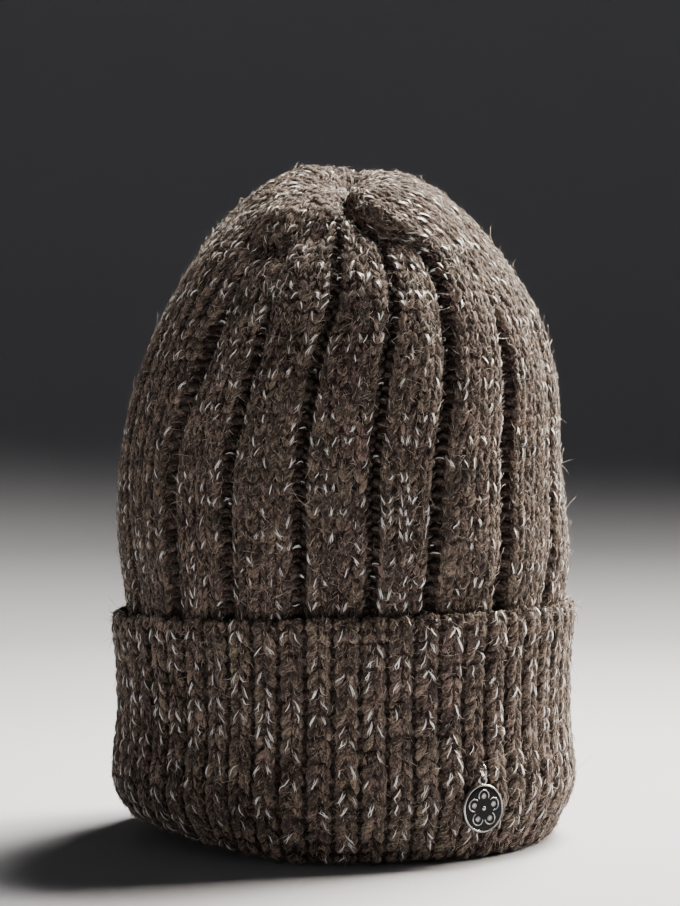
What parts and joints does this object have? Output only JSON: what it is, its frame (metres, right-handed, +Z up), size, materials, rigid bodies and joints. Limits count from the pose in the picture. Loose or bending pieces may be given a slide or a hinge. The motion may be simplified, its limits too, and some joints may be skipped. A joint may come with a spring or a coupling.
{
  "type": "knitted winter hat with turned-up cuff and small charm",
  "caption": "Wide-ribbed knitted winter hat, gathered off-centre at the top, with a double turned-up cuff and a small round enamelled charm on a jump ring.",
  "frame": {"origin": "bottom centre of the hat, on the surface it stands on, on the axis of the cuff", "axes": "+Z up through the gathered top, -Y towards the front, +X to the right as seen from the front"},
  "size_m": [0.1668, 0.1668, 0.2393],
  "materials": {
    "crown_knit": "brushed taupe melange yarn, wide ribs, shiny pale flecks",
    "cuff_knit": "brushed taupe melange yarn, narrow ribs, shiny pale flecks",
    "charm_metal": "polished silver-coloured metal",
    "charm_enamel": "glossy black enamel",
    "charm_stone": "clear faceted stone"
  },
  "bodies": {
    "root": {"crown": "crown_knit", "cuff": "cuff_knit", "charm_disc": "charm_metal", "charm_enamel": "charm_enamel", "charm_ring": "charm_metal", "charm_stone_1": "charm_stone", "charm_stone_2": "charm_stone", "charm_stone_3": "charm_stone", "charm_stone_4": "charm_stone", "charm_stone_5": "charm_stone"}
  },
  "joints": []
}
